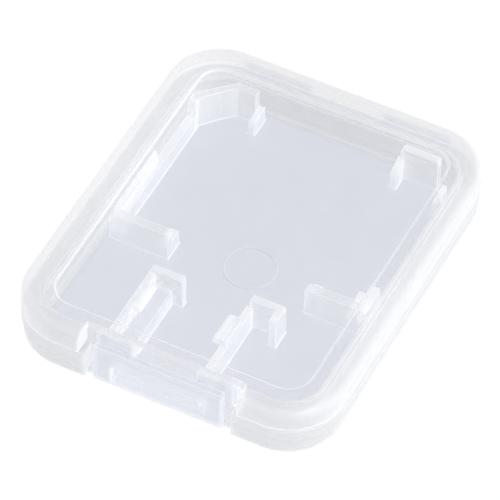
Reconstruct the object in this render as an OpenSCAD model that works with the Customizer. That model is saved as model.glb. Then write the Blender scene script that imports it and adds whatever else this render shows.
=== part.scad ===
// Memory card case: a flat hinged box of clear polypropylene that holds one full-size
// card and two micro cards. Origin at the middle of the case, on the surface it rests on.
// X runs along the latch edge, Y from the latch (front, negative) to the hinge (back), Z up.

/* [Case] */
// Width of the case along the latch edge
case_width = 42; // [40:0.5:48]
// Length of the case from the latch edge to the hinge edge
case_length = 51.1; // [49.5:0.1:58]
// Height of the closed case
case_height = 7.3; // [7:0.1:8.5]
// Plan radius of the four corners
corner_radius = 7.2; // [6:0.1:8.5]
// Thickness of the side walls, the same in tray and lid
wall = 2.5; // [2:0.1:2.7]
// Thickness of the tray floor
floor_thickness = 0.95; // [0.8:0.05:1.1]
// Thickness of the lid plate at its rim
plate_thickness = 1; // [0.8:0.05:1.2]
// Height at which the tray ends and the lid begins
parting_height = 4.2; // [3.9:0.1:4.4]
// Gap between the closed lid and the tray
parting_gap = 0.1; // [0.05:0.05:0.2]

/* [Edges] */
// Rounding of the upper outside edge of the lid
top_rounding = 0.9; // [0.5:0.1:1.2]
// Rounding of the lower outside edge of the tray
bottom_rounding = 0.4; // [0.2:0.1:0.6]
// Height of the thicker band round the mouth of the tray
band_height = 1.65; // [1:0.05:2]
// How far the tray wall under the band stands back
band_step = 0.25; // [0.1:0.05:0.4]
// Small bevel on the meeting edges of tray and lid
edge_bevel = 0.12; // [0.05:0.01:0.2]
// Fillet where the tray walls meet the floor
floor_fillet = 0.5; // [0.2:0.1:0.8]

/* [Window panel] */
// Distance from the outside of the lid to the edge of the sunken panel
panel_inset = 4; // [3.4:0.1:5]
// Depth of the sunken panel
panel_depth = 0.25; // [0.1:0.05:0.4]
// Plan radius of the corners of the panel
panel_corner = 3.5; // [2:0.1:5]

/* [Latch] */
// Width of the latch tongue
latch_width = 17; // [14:0.5:18]
// Thickness of the latch tongue
latch_thickness = 1.1; // [0.9:0.05:1.2]
// How far the top of the latch tongue stays below the top of the case
latch_drop = 1; // [0.8:0.1:1.5]
// Radius of the heel where the tongue turns down to its root
latch_heel = 1.2; // [0.8:0.1:1.3]
// How far the heel stays above the table
heel_lift = 0.1; // [0.05:0.05:0.2]
// Gap between the root of the tongue and the floor of the tray
latch_root_gap = 0.15; // [0.15:0.01:0.25]
// Gap at each side between the tongue and the cut in the tray wall
latch_side_gap = 1.3; // [0.6:0.1:1.5]
// Width of the slot in the tongue
slot_width = 12.4; // [10:0.2:13]
// Height of the slot in the tongue
slot_height = 2.85; // [2.6:0.05:2.9]
// Height of the lower edge of the slot
slot_bottom = 1.3; // [1.2:0.05:1.4]
// Rounding of the corners of the slot
slot_corner = 0.6; // [0.3:0.1:1]

/* [Catch on the lid] */
// Gap from the slot to each end of the hook
hook_side_gap = 0.7; // [0.4:0.1:1]
// Gap from the slot to the top of the hook
hook_top_gap = 0.13; // [0.1:0.01:0.2]
// Gap from the slot to the lowest point of the hook
hook_low_gap = 0.4; // [0.3:0.05:0.6]
// How far the hook reaches into the tongue
hook_engagement = 0.75; // [0.5:0.05:0.8]
// Width of the wall that carries the hook
catch_width = 18.2; // [15:0.2:18.6]
// Distance from the back of the tongue to the catch wall
catch_gap = 0.85; // [0.7:0.05:1]
// Height of the lower edge of the catch wall
catch_bottom = 2.7; // [2.4:0.1:3]
// Width of the opening between the two legs of the catch
catch_window = 8.4; // [6:0.2:9]
// How far each leg of the catch runs back under the lid plate
catch_leg_depth = 1.35; // [1:0.05:1.6]
// Gap at each side between the cut in the lid and the catch wall
catch_side_gap = 1.4; // [1:0.1:2]
// How far the cut in the lid reaches back past its wall
lid_notch_overrun = 0.2; // [0.1:0.05:0.4]

/* [Hinge straps] */
// Width of each hinge strap
strap_width = 9; // [6:0.5:12]
// Distance between the middles of the two straps
strap_spacing = 19; // [14:0.5:24]
// Thickness of a strap
strap_thickness = 0.4; // [0.3:0.05:0.5]
// Radius of the bow of a strap, at the middle of its thickness
strap_bow = 0.85; // [0.8:0.05:0.95]
// Height of the hinge axis
hinge_height = 3.75; // [3.7:0.05:3.9]
// Distance of the hinge axis behind the back wall
hinge_offset = 0.9; // [0.8:0.05:1.1]

/* [Full-size card pocket] */
// Gap between the side walls of the case and the fences of the card pocket
pocket_side_gap = 1.35; // [0.6:0.05:2]
// Length of a full-size card
card_length = 24; // [22:0.5:24.5]
// Play at each end of the card
card_end_play = 0.1; // [0.1:0.05:0.4]
// Distance from the back wall to the back of the card pocket
pocket_back_gap = 2.45; // [2.3:0.05:3]
// Height at which a card lies
card_rest_height = 3.3; // [3:0.1:3.6]
// Height of the fences round the card
fence_height = 5.15; // [4.6:0.05:5.6]
// Gap between the tall guides at the back and the lid plate
guide_top_gap = 0.45; // [0.3:0.05:0.8]
// Thickness of the brackets that stop the front of the card
bracket_thickness = 1.25; // [1:0.05:1.4]
// Length of each front bracket
bracket_length = 7.95; // [6:0.05:9]
// Width of a rail that carries the card
rail_width = 1.1; // [0.9:0.05:1.3]
// Thickness of the fence that stands on a rail
fence_thickness = 0.5; // [0.4:0.05:0.6]
// Length of the fence on the left rail
left_fence_length = 10.5; // [6:0.5:14]
// Length of the fence on the right rail
right_fence_length = 3.3; // [2:0.1:5]
// Length of the small rests behind the front brackets
rest_length = 1.8; // [1.4:0.1:2.4]
// Size of the cut-off corner of the card
card_corner = 3.6; // [3:0.1:4]
// Length of the tall stop behind the card
stop_length = 5.1; // [4:0.1:6]
// How far the stop and its rib lie outwards of the end of the front bracket
stop_offset = 0.6; // [0.3:0.1:1]
// Length of the ribs under the back edge of the card
rib_length = 2.3; // [1.6:0.1:3]
// Thickness of those ribs
rib_thickness = 0.85; // [0.7:0.05:1]
// Length of the straight foot that joins the corner guide to its rib
guide_foot = 2.5; // [1.5:0.1:3]

/* [Micro card pockets] */
// Width of the pocket between the two stems
micro_pocket_width = 11.6; // [11.4:0.1:12]
// Sideways place of the left stem
left_stem_x = -7.75; // [-8.2:0.05:-7.5]
// Thickness of the left stem
left_stem_thickness = 0.8; // [0.7:0.05:1]
// Thickness of the centre stem
centre_stem_thickness = 0.9; // [0.8:0.05:1.1]
// Distance from the front of the case to the front end of the stems
stem_front = 3.8; // [3.7:0.1:4.5]
// Distance from the front of the case to the back wall of the left holder
left_holder_depth = 14.75; // [13:0.05:15.5]
// Distance from the front of the case to the back wall of the centre holder
centre_holder_depth = 15.95; // [14:0.05:16.5]
// Width of the step beside the left stem, on which a micro card lies
micro_step_width = 2.3; // [1.8:0.1:2.6]
// Width of the back wall of each holder
holder_wall_width = 4.45; // [4:0.05:5]
// Thickness of the back wall of each holder
holder_wall_thickness = 0.95; // [0.8:0.05:1.1]
// Length of the post that turns forward from the centre holder
return_post_length = 1.9; // [1.5:0.1:2.4]
// Thickness of that post
return_post_thickness = 0.9; // [0.7:0.05:1.1]
// Height of the lip that holds a micro card down
nub_height = 0.85; // [0.6:0.05:1]
// How far the lip stands out from its stem
nub_reach = 1; // [0.6:0.05:1.2]
// Length of the lip
nub_length = 4.2; // [3:0.1:5]
// Distance from the front of the stems to the lip
nub_setback = 5.1; // [4:0.1:5.5]
// Height of the space for a micro card under the lip
micro_card_space = 1.05; // [0.95:0.05:1.2]
// Gap between the back walls of the holders and the lid plate
holder_top_gap = 0.8; // [0.5:0.1:1.2]

/* [Floor mark] */
// Outer radius of the plain ring moulded on the floor
mark_radius = 3.4; // [2:0.1:5]
// Width of the ring
mark_width = 0.3; // [0.2:0.05:0.5]
// Height of the ring above the floor
mark_height = 0.12; // [0.05:0.01:0.15]

/* [Hidden] */
corner_fn = 64;
arc_steps = 5;
front_y = -case_length / 2;
back_y = case_length / 2;
inner_x = case_width / 2 - wall;
inner_back_y = back_y - wall;
inner_radius = corner_radius - wall;
lid_bottom = parting_height + parting_gap;
plate_underside = case_height - plate_thickness;
cut_margin = 1;

// Latch and catch, from the front of the case backwards
latch_back_y = front_y + latch_thickness;
latch_top = case_height - latch_drop;
floor_front_y = latch_back_y + latch_root_gap;
latch_pivot = [floor_front_y - latch_root_gap / 2, heel_lift + 0.4];
slot_top = slot_bottom + slot_height;
base_notch_width = latch_width + 2 * latch_side_gap;
catch_front_y = latch_back_y + catch_gap;
lid_notch_y = front_y + wall + lid_notch_overrun;
lid_notch_width = catch_width + 2 * catch_side_gap;
catch_top = case_height - plate_thickness / 2;
catch_corner = 0.8;
hook_width = slot_width - 2 * hook_side_gap;
hook_tip_y = latch_back_y - hook_engagement;
hook_top = slot_top - hook_top_gap;
hook_low = slot_bottom + hook_low_gap;
hook_face = 0.9;
cross_bar_top = hook_top + 0.35;

// Full-size card pocket
fence_x = inner_x - pocket_side_gap;
pocket_back_y = inner_back_y - pocket_back_gap;
pocket_front_y = pocket_back_y - card_length - 2 * card_end_play;
rail_inner_x = fence_x - rail_width;
bracket_inner_x = fence_x - bracket_length;
guide_height = plate_underside - guide_top_gap;
guide_thickness = 1.05;
corner_front_y = pocket_back_y - card_corner - 1.2;
corner_face_x = -fence_x + rail_width;
corner_back_y = pocket_back_y - 0.2;
guide_end_x = corner_face_x + card_corner + guide_foot;
rib_slope = 0.3;
rib_rise = 1.1;
post_length = 1.8;
post_setback = 2.2;

// Micro card pockets
left_stem_left_x = left_stem_x - left_stem_thickness;
centre_stem_x = left_stem_x + micro_pocket_width;
stem_front_y = front_y + stem_front;
left_holder_y = front_y + left_holder_depth;
centre_holder_y = front_y + centre_holder_depth;
nub_low = card_rest_height + micro_card_space;
stem_height = nub_low + nub_height;
nub_front_y = stem_front_y + nub_setback;
micro_wall_height = plate_underside - holder_top_gap;
centre_stem_height = 4.15;
front_rest_x = 7;
front_rest_width = 1.4;
front_rest_length = 2.2;
mark_y = -1.5;
mark_x = 0.3;

clear_tint = [0.88, 0.9, 0.94, 0.5];
lid_tint = [0.92, 0.93, 0.96, 0.4];

// Points along a circular arc
function arc(centre, radius, from, to, steps = arc_steps) = [
    for (i = [0:steps])
        let (turn = from + (to - from) * i / steps)
        centre + radius * [cos(turn), sin(turn)]
];

// Rectangle with its two upper corners rounded
function arched_outline(left, right, low, high, radius) = concat(
    [[left, low], [right, low]],
    arc([right - radius, high - radius], radius, 0, 90),
    arc([left + radius, high - radius], radius, 90, 180)
);

// Rectangle with all its corners rounded
function eased_outline(left, right, low, high, radius) = concat(
    arc([left + radius, low + radius], radius, 180, 270),
    arc([right - radius, low + radius], radius, 270, 360),
    arc([right - radius, high - radius], radius, 0, 90),
    arc([left + radius, high - radius], radius, 90, 180)
);

// Solid with a rounded-rectangle plan; its side follows [inset, height] points upwards
module rounded_solid(size_x, size_y, radius, profile) {
    low = profile[0][1];
    high = profile[len(profile) - 1][1];
    outline = concat([for (p = profile) [radius - p[0], p[1]]], [[0, high], [0, low]]);
    core = [size_x / 2 - radius, size_y / 2 - radius];
    translate([-core[0], -core[1], low])
        cube([2 * core[0], 2 * core[1], high - low]);
    for (turn = [0:3]) {
        reach = core[turn % 2];
        half = core[(turn + 1) % 2];
        rotate([0, 0, 90 * turn]) translate([reach, half, 0]) {
            rotate([90, 0, 0]) linear_extrude(2 * half) polygon(outline);
            rotate_extrude(angle = 90, $fn = corner_fn) polygon(outline);
        }
    }
}

// Box between two corners
module block(low, high) {
    translate(low) cube(high - low);
}

// Upright plate that runs along X, with its two upper corners rounded
module plate_along_x(x, y, z, radius) {
    translate([0, y[1], 0]) rotate([90, 0, 0])
        linear_extrude(y[1] - y[0]) polygon(arched_outline(x[0], x[1], z[0], z[1], radius));
}

// Upright plate that runs along Y, with its two upper corners rounded
module plate_along_y(x, y, z, radius) {
    translate([x[0], 0, 0]) rotate([90, 0, 90])
        linear_extrude(x[1] - x[0]) polygon(arched_outline(y[0], y[1], z[0], z[1], radius));
}

// Outline in the YZ plane, drawn out along X about the middle
module across(width, outline) {
    translate([-width / 2, 0, 0]) rotate([90, 0, 90])
        linear_extrude(width) polygon(outline);
}

// Tray: floor and wall, with a band round its mouth and a cut for the latch
module base_tray() {
    outside = concat(
        arc([band_step + bottom_rounding, bottom_rounding], bottom_rounding, 270, 180),
        [
            [band_step, parting_height - band_height],
            [edge_bevel, parting_height - band_height],
            [0, parting_height - band_height + edge_bevel],
            [0, parting_height - edge_bevel],
            [edge_bevel, parting_height]
        ]
    );
    hollow = concat(
        arc([floor_fillet, floor_thickness + floor_fillet], floor_fillet, 270, 180),
        [[0, parting_height + cut_margin]]
    );
    color(clear_tint) {
        difference() {
            rounded_solid(case_width, case_length, corner_radius, outside);
            rounded_solid(2 * inner_x, 2 * inner_back_y, inner_radius, hollow);
            block([-base_notch_width / 2, front_y - cut_margin, floor_thickness],
                  [base_notch_width / 2, front_y + wall + floor_fillet, parting_height + cut_margin]);
            block([-base_notch_width / 2, front_y - cut_margin, -cut_margin],
                  [base_notch_width / 2, floor_front_y, parting_height + cut_margin]);
        }
        translate([mark_x, mark_y, floor_thickness]) difference() {
            cylinder(h = mark_height, r = mark_radius, $fn = corner_fn);
            translate([0, 0, -cut_margin])
                cylinder(h = mark_height + 2 * cut_margin, r = mark_radius - mark_width, $fn = corner_fn);
        }
    }
}

// Front bracket of the card pocket, drawn for the right side
module card_bracket() {
    plate_along_x([bracket_inner_x, fence_x], [pocket_front_y - bracket_thickness, pocket_front_y],
                  [floor_thickness, fence_height], 0.4);
    plate_along_y([bracket_inner_x, bracket_inner_x + rail_width],
                  [pocket_front_y, pocket_front_y + rest_length],
                  [floor_thickness, card_rest_height], 0.3);
}

module sd_left_bracket() {
    color(clear_tint) mirror([1, 0, 0]) card_bracket();
}

// The right bracket also has a fence post and a second rest behind it
module sd_right_bracket() {
    rest_x = rail_inner_x - 1.5;
    color(clear_tint) {
        card_bracket();
        plate_along_y([fence_x - rail_width, fence_x], [pocket_front_y, pocket_front_y + right_fence_length],
                      [floor_thickness, fence_height], 0.4);
        plate_along_y([rest_x, rest_x + rail_width], [pocket_front_y, pocket_front_y + right_fence_length],
                      [floor_thickness, card_rest_height], 0.4);
    }
}

// Long rail under the left edge of the card, with a thin fence on its front part
module sd_left_rail() {
    color(clear_tint) {
        block([-fence_x, pocket_front_y, floor_thickness],
              [-rail_inner_x, corner_front_y, card_rest_height]);
        block([-fence_x, pocket_front_y, card_rest_height],
              [-fence_x + fence_thickness, pocket_front_y + left_fence_length, fence_height]);
    }
}

// Tall guide round the cut-off corner of the card
module sd_corner_guide() {
    face = [
        [corner_face_x, corner_front_y],
        [corner_face_x, corner_front_y + 0.9],
        [corner_face_x + card_corner * 0.62, pocket_back_y - 1.4],
        [corner_face_x + card_corner, corner_back_y],
        [guide_end_x, corner_back_y]
    ];
    back = [
        [guide_end_x, corner_back_y + guide_thickness],
        [corner_face_x + card_corner - 0.4, corner_back_y + guide_thickness],
        [-fence_x, corner_front_y + 1.5],
        [-fence_x, corner_front_y]
    ];
    color(clear_tint) translate([0, 0, floor_thickness])
        linear_extrude(guide_height - floor_thickness) polygon(concat(face, back));
}

// Low rib that carries the back left edge of the card
module sd_back_left_rest() {
    color(clear_tint)
        plate_along_y([guide_end_x, guide_end_x + rib_thickness],
                      [pocket_back_y - rib_length, corner_back_y + guide_thickness],
                      [floor_thickness, card_rest_height], 0.3);
}

// Tall stop behind the card, with a low sloping rib in front of it
module sd_back_right_stop() {
    left = bracket_inner_x + stop_offset;
    color(clear_tint) {
        plate_along_x([left, left + stop_length], [pocket_back_y, pocket_back_y + guide_thickness],
                      [floor_thickness, guide_height], 0.4);
        translate([left - rib_slope, 0, 0]) rotate([90, 0, 90]) linear_extrude(rib_thickness) polygon([
            [pocket_back_y - rib_length, floor_thickness],
            [pocket_back_y, floor_thickness],
            [pocket_back_y, card_rest_height + rib_rise],
            [pocket_back_y - rib_length + rib_slope, card_rest_height + rib_slope],
            [pocket_back_y - rib_length, card_rest_height]
        ]);
    }
}

// Post at the back right edge of the card
module sd_right_post() {
    back = pocket_back_y - post_setback;
    color(clear_tint) {
        plate_along_y([fence_x - rail_width, fence_x - fence_thickness], [back - post_length, back],
                      [floor_thickness, card_rest_height], 0.2);
        plate_along_y([fence_x - fence_thickness, fence_x], [back - post_length, back],
                      [floor_thickness, fence_height], 0.3);
    }
}

// Lip of a stem that holds a micro card down; it stands out from x towards the pocket
module card_lip(x, side) {
    outline = [[0, nub_low], [0, stem_height], [side * nub_reach * 0.6, stem_height],
               [side * nub_reach, nub_low + nub_height * 0.5], [side * nub_reach, nub_low]];
    translate([x, nub_front_y + nub_length, 0]) rotate([90, 0, 0])
        linear_extrude(nub_length) polygon(outline);
}

// Left holder of the micro cards: stem, step, back wall and lip
module micro_left_holder() {
    color(clear_tint) {
        plate_along_y([left_stem_left_x, left_stem_x], [stem_front_y, left_holder_y],
                      [floor_thickness, stem_height], 0.6);
        block([left_stem_x, stem_front_y, floor_thickness],
              [left_stem_x + micro_step_width, left_holder_y, card_rest_height]);
        plate_along_x([left_stem_left_x, left_stem_left_x + holder_wall_width],
                      [left_holder_y, left_holder_y + holder_wall_thickness],
                      [floor_thickness, micro_wall_height], 0.4);
        card_lip(left_stem_x, 1);
    }
}

// Centre holder: stem with a lip on its left, back wall and a post that turns forward
module micro_centre_holder() {
    wall_left = centre_stem_x + 0.4;
    wall_right = wall_left + holder_wall_width;
    color(clear_tint) {
        plate_along_y([centre_stem_x, centre_stem_x + centre_stem_thickness],
                      [stem_front_y, centre_holder_y], [floor_thickness, centre_stem_height], 0.4);
        plate_along_y([centre_stem_x, centre_stem_x + centre_stem_thickness],
                      [nub_front_y, nub_front_y + nub_length], [centre_stem_height, stem_height], 0.1);
        plate_along_x([wall_left, wall_right], [centre_holder_y, centre_holder_y + holder_wall_thickness],
                      [floor_thickness, micro_wall_height], 0.4);
        plate_along_y([wall_right - return_post_thickness, wall_right],
                      [centre_holder_y - return_post_length, centre_holder_y],
                      [floor_thickness, micro_wall_height], 0.4);
        card_lip(centre_stem_x, -1);
    }
}

// Low rest for the right micro card, near the front wall
module micro_front_rest() {
    color(clear_tint)
        plate_along_y([front_rest_x, front_rest_x + front_rest_width],
                      [stem_front_y, stem_front_y + front_rest_length],
                      [floor_thickness, card_rest_height], 0.3);
}

// Lid: plate with a sunken window panel, a wall all round and a cut over the latch
module lid_shell() {
    outside = concat(
        [[edge_bevel, lid_bottom], [0, lid_bottom + edge_bevel]],
        arc([top_rounding, case_height - top_rounding], top_rounding, 180, 90)
    );
    hollow_fillet = 0.35;
    hollow = concat(
        [[0, lid_bottom - cut_margin]],
        arc([hollow_fillet, plate_underside - hollow_fillet], hollow_fillet, 180, 90)
    );
    panel_wall = [[panel_depth / 2, case_height - panel_depth], [0, case_height], [0, case_height + cut_margin]];
    color(lid_tint) difference() {
        rounded_solid(case_width, case_length, corner_radius, outside);
        rounded_solid(2 * inner_x, 2 * inner_back_y, inner_radius, hollow);
        rounded_solid(case_width - 2 * panel_inset, case_length - 2 * panel_inset, panel_corner, panel_wall);
        block([-lid_notch_width / 2, front_y - cut_margin, lid_bottom - cut_margin],
              [lid_notch_width / 2, lid_notch_y, case_height + cut_margin]);
    }
}

// Catch: two legs under the front of the lid plate, joined by a bar whose hook enters the slot
module lid_catch() {
    leg_back_y = catch_front_y + catch_leg_depth;
    leg = [
        [catch_front_y, catch_bottom],
        [leg_back_y, catch_bottom],
        [leg_back_y, plate_underside],
        [lid_notch_y, plate_underside],
        [lid_notch_y, catch_top],
        [catch_front_y, catch_top]
    ];
    hook = [
        [catch_front_y, hook_low],
        [catch_front_y + 0.6, hook_low],
        [catch_front_y + 0.6, hook_top],
        [hook_tip_y, hook_top],
        [hook_tip_y, hook_top - hook_face]
    ];
    front = arched_outline(-catch_width / 2, catch_width / 2, catch_bottom, catch_top, catch_corner);
    color(lid_tint) {
        difference() {
            intersection() {
                across(catch_width, leg);
                translate([0, leg_back_y, 0]) rotate([90, 0, 0])
                    linear_extrude(leg_back_y - catch_front_y) polygon(front);
            }
            block([-catch_window / 2, catch_front_y - cut_margin, cross_bar_top],
                  [catch_window / 2, leg_back_y + cut_margin, catch_top + cut_margin]);
        }
        across(hook_width, hook);
    }
}

// Latch tongue: upright plate with a rounded heel and a slot for the hook
module latch_tongue() {
    heel_z = heel_lift + latch_heel;
    heel_end = acos((latch_heel - latch_thickness) / latch_heel);
    top_ease = 0.3;
    side = concat(
        arc([front_y + latch_heel, heel_z], latch_heel, 180, 180 + heel_end),
        [[latch_back_y, floor_thickness], [latch_back_y, latch_top]],
        arc([front_y + top_ease, latch_top - top_ease], top_ease, 90, 180)
    );
    slot = eased_outline(-slot_width / 2, slot_width / 2, slot_bottom, slot_top, slot_corner);
    color(clear_tint) difference() {
        across(latch_width, side);
        translate([0, latch_back_y + cut_margin, 0]) rotate([90, 0, 0])
            linear_extrude(latch_thickness + 2 * cut_margin) polygon(slot);
    }
}

// Bowed strap of thin plastic that joins tray and lid behind the back wall
module hinge_strap(middle_x) {
    color(clear_tint)
        translate([middle_x - strap_width / 2, back_y, hinge_height]) rotate([0, 90, 0])
            rotate_extrude(angle = 180, $fn = corner_fn)
                translate([strap_bow - strap_thickness / 2, 0])
                    square([strap_thickness, strap_width]);
}

module hinge_strap_left() {
    hinge_strap(-strap_spacing / 2);
}

module hinge_strap_right() {
    hinge_strap(strap_spacing / 2);
}

base_tray();
sd_left_bracket();
sd_right_bracket();
sd_left_rail();
sd_corner_guide();
sd_back_left_rest();
sd_back_right_stop();
sd_right_post();
micro_left_holder();
micro_centre_holder();
micro_front_rest();
lid_shell();
lid_catch();
latch_tongue();
hinge_strap_left();
hinge_strap_right();
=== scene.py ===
"""Looks of a memory card case of clear moulded plastic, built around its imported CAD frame."""

import logging
import math
from dataclasses import dataclass
from enum import Enum
from typing import Callable, Sequence

import bmesh
import bpy
from mathutils import Matrix, Vector
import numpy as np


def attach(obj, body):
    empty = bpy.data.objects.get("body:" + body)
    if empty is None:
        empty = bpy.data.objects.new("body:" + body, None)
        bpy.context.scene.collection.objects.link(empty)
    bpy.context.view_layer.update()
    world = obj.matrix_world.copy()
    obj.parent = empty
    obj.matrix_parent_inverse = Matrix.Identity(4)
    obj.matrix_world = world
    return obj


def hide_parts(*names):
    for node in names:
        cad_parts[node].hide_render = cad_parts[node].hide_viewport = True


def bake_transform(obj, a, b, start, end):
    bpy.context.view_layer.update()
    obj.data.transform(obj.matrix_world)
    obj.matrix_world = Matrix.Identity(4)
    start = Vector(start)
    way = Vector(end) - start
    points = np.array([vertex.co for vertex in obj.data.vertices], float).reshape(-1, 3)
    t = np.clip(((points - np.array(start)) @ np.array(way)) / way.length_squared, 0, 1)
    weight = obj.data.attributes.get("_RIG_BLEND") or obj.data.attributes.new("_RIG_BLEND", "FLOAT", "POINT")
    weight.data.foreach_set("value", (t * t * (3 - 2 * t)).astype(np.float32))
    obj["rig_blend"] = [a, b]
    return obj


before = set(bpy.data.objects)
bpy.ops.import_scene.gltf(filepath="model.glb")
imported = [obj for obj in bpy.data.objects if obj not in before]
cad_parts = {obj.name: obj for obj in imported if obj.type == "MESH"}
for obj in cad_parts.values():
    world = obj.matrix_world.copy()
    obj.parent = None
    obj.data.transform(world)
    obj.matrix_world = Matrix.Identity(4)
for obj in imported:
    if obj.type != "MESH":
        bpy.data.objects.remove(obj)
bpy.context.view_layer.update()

MM = 0.001
FOOT_SINK = 0.02  # how far feet and the ring go into the floor, in millimetres
LAP = 0.1  # how far joined shapes reach into each other, in millimetres
LEAST_RADIUS = 0.3  # least plan radius of a shell's corner, in millimetres
EDGE_PAINTED_HIGHLIGHT = 0.65  # painted highlight along the edges of the two shells
SHARP_ANGLE = 50.0  # degrees between faces from which shading shows an edge
log = logging.getLogger("card_case")

Point = tuple[float, float]


class Body(Enum):
    """The bodies of the case that move against each other."""

    TRAY = "base"
    LID = "lid"
    LATCH = "latch"


class Slot(Enum):
    """The material slots of the record."""

    TRAY = "clear_tray"
    RIBS = "clear_ribs"
    HINGE = "clear_hinge"
    LID = "clear_lid"
    LATCH = "clear_latch"


def link(made: bpy.types.Object) -> None:
    """Put an object in the scene."""
    bpy.context.scene.collection.objects.link(made)


# Shader recipes


class Term:
    """A node output that ordinary Python operators combine into Math nodes."""

    def __init__(self, recipe: "Recipe", socket: bpy.types.NodeSocket) -> None:
        """Keep the recipe that owns the socket."""
        self.recipe = recipe
        self.socket = socket

    def _math(self, operation: str, first: object, second: object) -> "Term":
        """Return a Math node of two terms or numbers."""
        made = self.recipe.node("ShaderNodeMath", {"operation": operation}, {0: first, 1: second})
        return Term(self.recipe, made.outputs[0])

    def __add__(self, other: "Term | float") -> "Term":
        """Return self + other."""
        return self._math("ADD", self, other)

    __radd__ = __add__

    def __sub__(self, other: "Term | float") -> "Term":
        """Return self - other."""
        return self._math("SUBTRACT", self, other)

    def __rsub__(self, other: float) -> "Term":
        """Return other - self."""
        return self._math("SUBTRACT", other, self)

    def __mul__(self, other: "Term | float") -> "Term":
        """Return self * other."""
        return self._math("MULTIPLY", self, other)

    __rmul__ = __mul__

    def __truediv__(self, other: "Term | float") -> "Term":
        """Return self / other."""
        return self._math("DIVIDE", self, other)

    def __rtruediv__(self, other: float) -> "Term":
        """Return other / self."""
        return self._math("DIVIDE", other, self)

    def __pow__(self, other: "Term | float") -> "Term":
        """Return self to the power of other."""
        return self._math("POWER", self, other)

    def least(self, other: "Term | float") -> "Term":
        """Return the smaller of self and other."""
        return self._math("MINIMUM", self, other)

    def most(self, other: "Term | float") -> "Term":
        """Return the larger of self and other."""
        return self._math("MAXIMUM", self, other)


class Recipe:
    """The node tree of one material or world."""

    def __init__(self, owner: bpy.types.Material | bpy.types.World) -> None:
        """Start an empty node tree in its owner."""
        self.owner = owner
        owner.use_nodes = True
        self.tree = owner.node_tree
        self.tree.nodes.clear()

    def node(
        self,
        kind: str,
        settings: dict[str, object] | None = None,
        values: dict[object, object] | None = None,
    ) -> bpy.types.Node:
        """Add a node.

        Args:
            kind: the node's type.
            settings: properties that are set before its sockets are read.
            values: socket names or numbers, with a Term, a socket or a plain value for each.

        Returns:
            The new node.
        """
        made = self.tree.nodes.new(kind)
        for key, value in (settings or {}).items():
            setattr(made, key, value)
        for key, value in (values or {}).items():
            if isinstance(value, Term):
                self.tree.links.new(value.socket, made.inputs[key])
            elif isinstance(value, bpy.types.NodeSocket):
                self.tree.links.new(value, made.inputs[key])
            else:
                made.inputs[key].default_value = value
        return made

    def term(self, made: bpy.types.Node, output: object = 0) -> Term:
        """Return an output of a node as a Term."""
        return Term(self, made.outputs[output])

    def place(self) -> bpy.types.NodeSocket:
        """Return the socket with the object coordinates, in metres."""
        return self.node("ShaderNodeTexCoord").outputs["Object"]

    def measure(self, kind: "Measure") -> Term:
        """Return one of the measures that the mesh carries."""
        return self.term(self.node("ShaderNodeAttribute", {"attribute_name": kind.value}), "Fac")

    def mix(self, factor: "Term | float", first: bpy.types.Node, second: bpy.types.Node) -> bpy.types.Node:
        """Return a shader between two others: the first at factor 0, the second at 1."""
        values = {0: factor, 1: first.outputs[0], 2: second.outputs[0]}
        return self.node("ShaderNodeMixShader", None, values)

    def noise(self, scale: float, detail: float = 2.0, roughness: float = 0.5) -> Term:
        """Return fractal noise from 0 to 1, with scale in cycles per metre."""
        made = self.node(
            "ShaderNodeTexNoise",
            {"noise_dimensions": "3D"},
            {"Vector": self.place(), "Scale": scale, "Detail": detail, "Roughness": roughness},
        )
        return self.term(made, 0)

    def blend(self, factor: Term, low: Sequence[float], high: Sequence[float]) -> bpy.types.NodeSocket:
        """Return a colour between low and high.

        Args:
            factor: 0 for low, 1 for high.
            low: red, green and blue at 0.
            high: red, green and blue at 1.

        Returns:
            The colour socket.
        """
        made = self.node("ShaderNodeMix", {"data_type": "RGBA"}, {0: factor, 6: (*low, 1), 7: (*high, 1)})
        return made.outputs[2]

    def finish(self, made: bpy.types.Node, output: str = "ShaderNodeOutputMaterial") -> bpy.types.ID:
        """Feed the last shader to the output and return the material or world."""
        self.node(output, None, {"Surface": made.outputs[0]})
        return self.owner


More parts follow.
